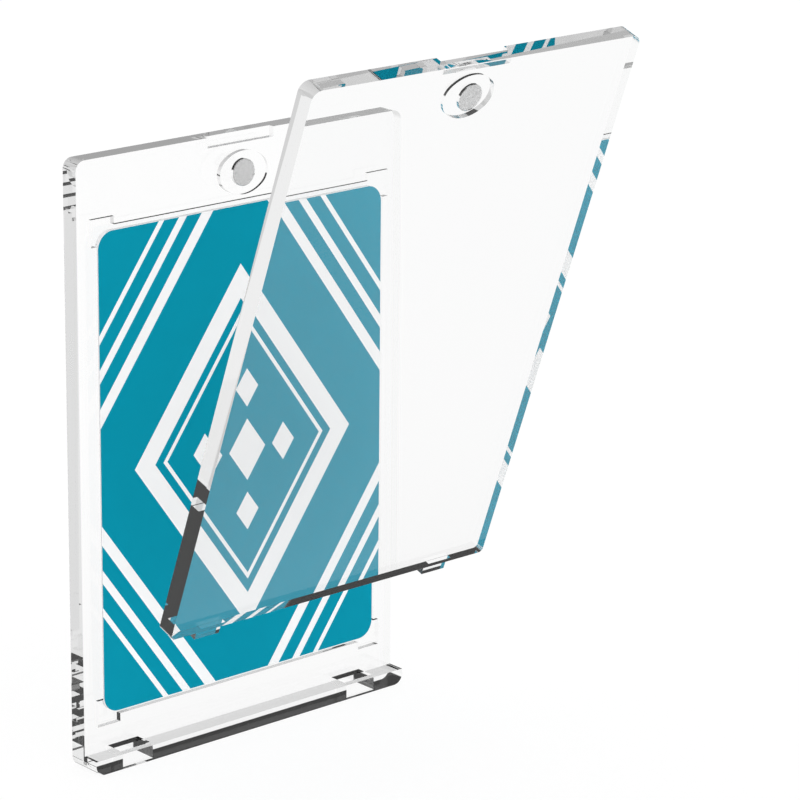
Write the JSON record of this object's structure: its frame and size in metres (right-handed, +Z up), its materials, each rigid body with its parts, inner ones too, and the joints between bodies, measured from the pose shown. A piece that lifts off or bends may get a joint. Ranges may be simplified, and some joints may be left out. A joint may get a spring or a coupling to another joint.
{
  "type": "trading card display case",
  "caption": "Clear upright display case for a single trading card: rear shell on a low ledge with a card pocket, and a clear cover that tips forward, held shut by a magnet pair.",
  "frame": {"origin": "on the bottom rest face, at mid-width, directly under the plane where the cover meets the rear shell", "axes": "+X to the viewer's right along the case's width, +Y away from the viewer through the rear shell, +Z up"},
  "size_m": [0.0728, 0.0665, 0.1359],
  "materials": {
    "clear_shell": "polished clear acrylic",
    "clear_cover": "polished clear acrylic",
    "card_print": "printed and coated card stock, teal and white",
    "magnet_nickel": "nickel plate"
  },
  "bodies": {
    "base": {"rear_shell": "clear_shell", "card_insert": "card_print", "rear_magnet": "magnet_nickel"},
    "cover": {"front_cover": "clear_cover", "front_magnet": "magnet_nickel"}
  },
  "joints": [
    {"name": "cover_hinge", "type": "hinge", "parent": "base", "child": "cover", "pos_m": [0, -0.0919, -0.0446], "axis": [1, 0, 0], "range_deg": [-19.3, 0]}
  ]
}
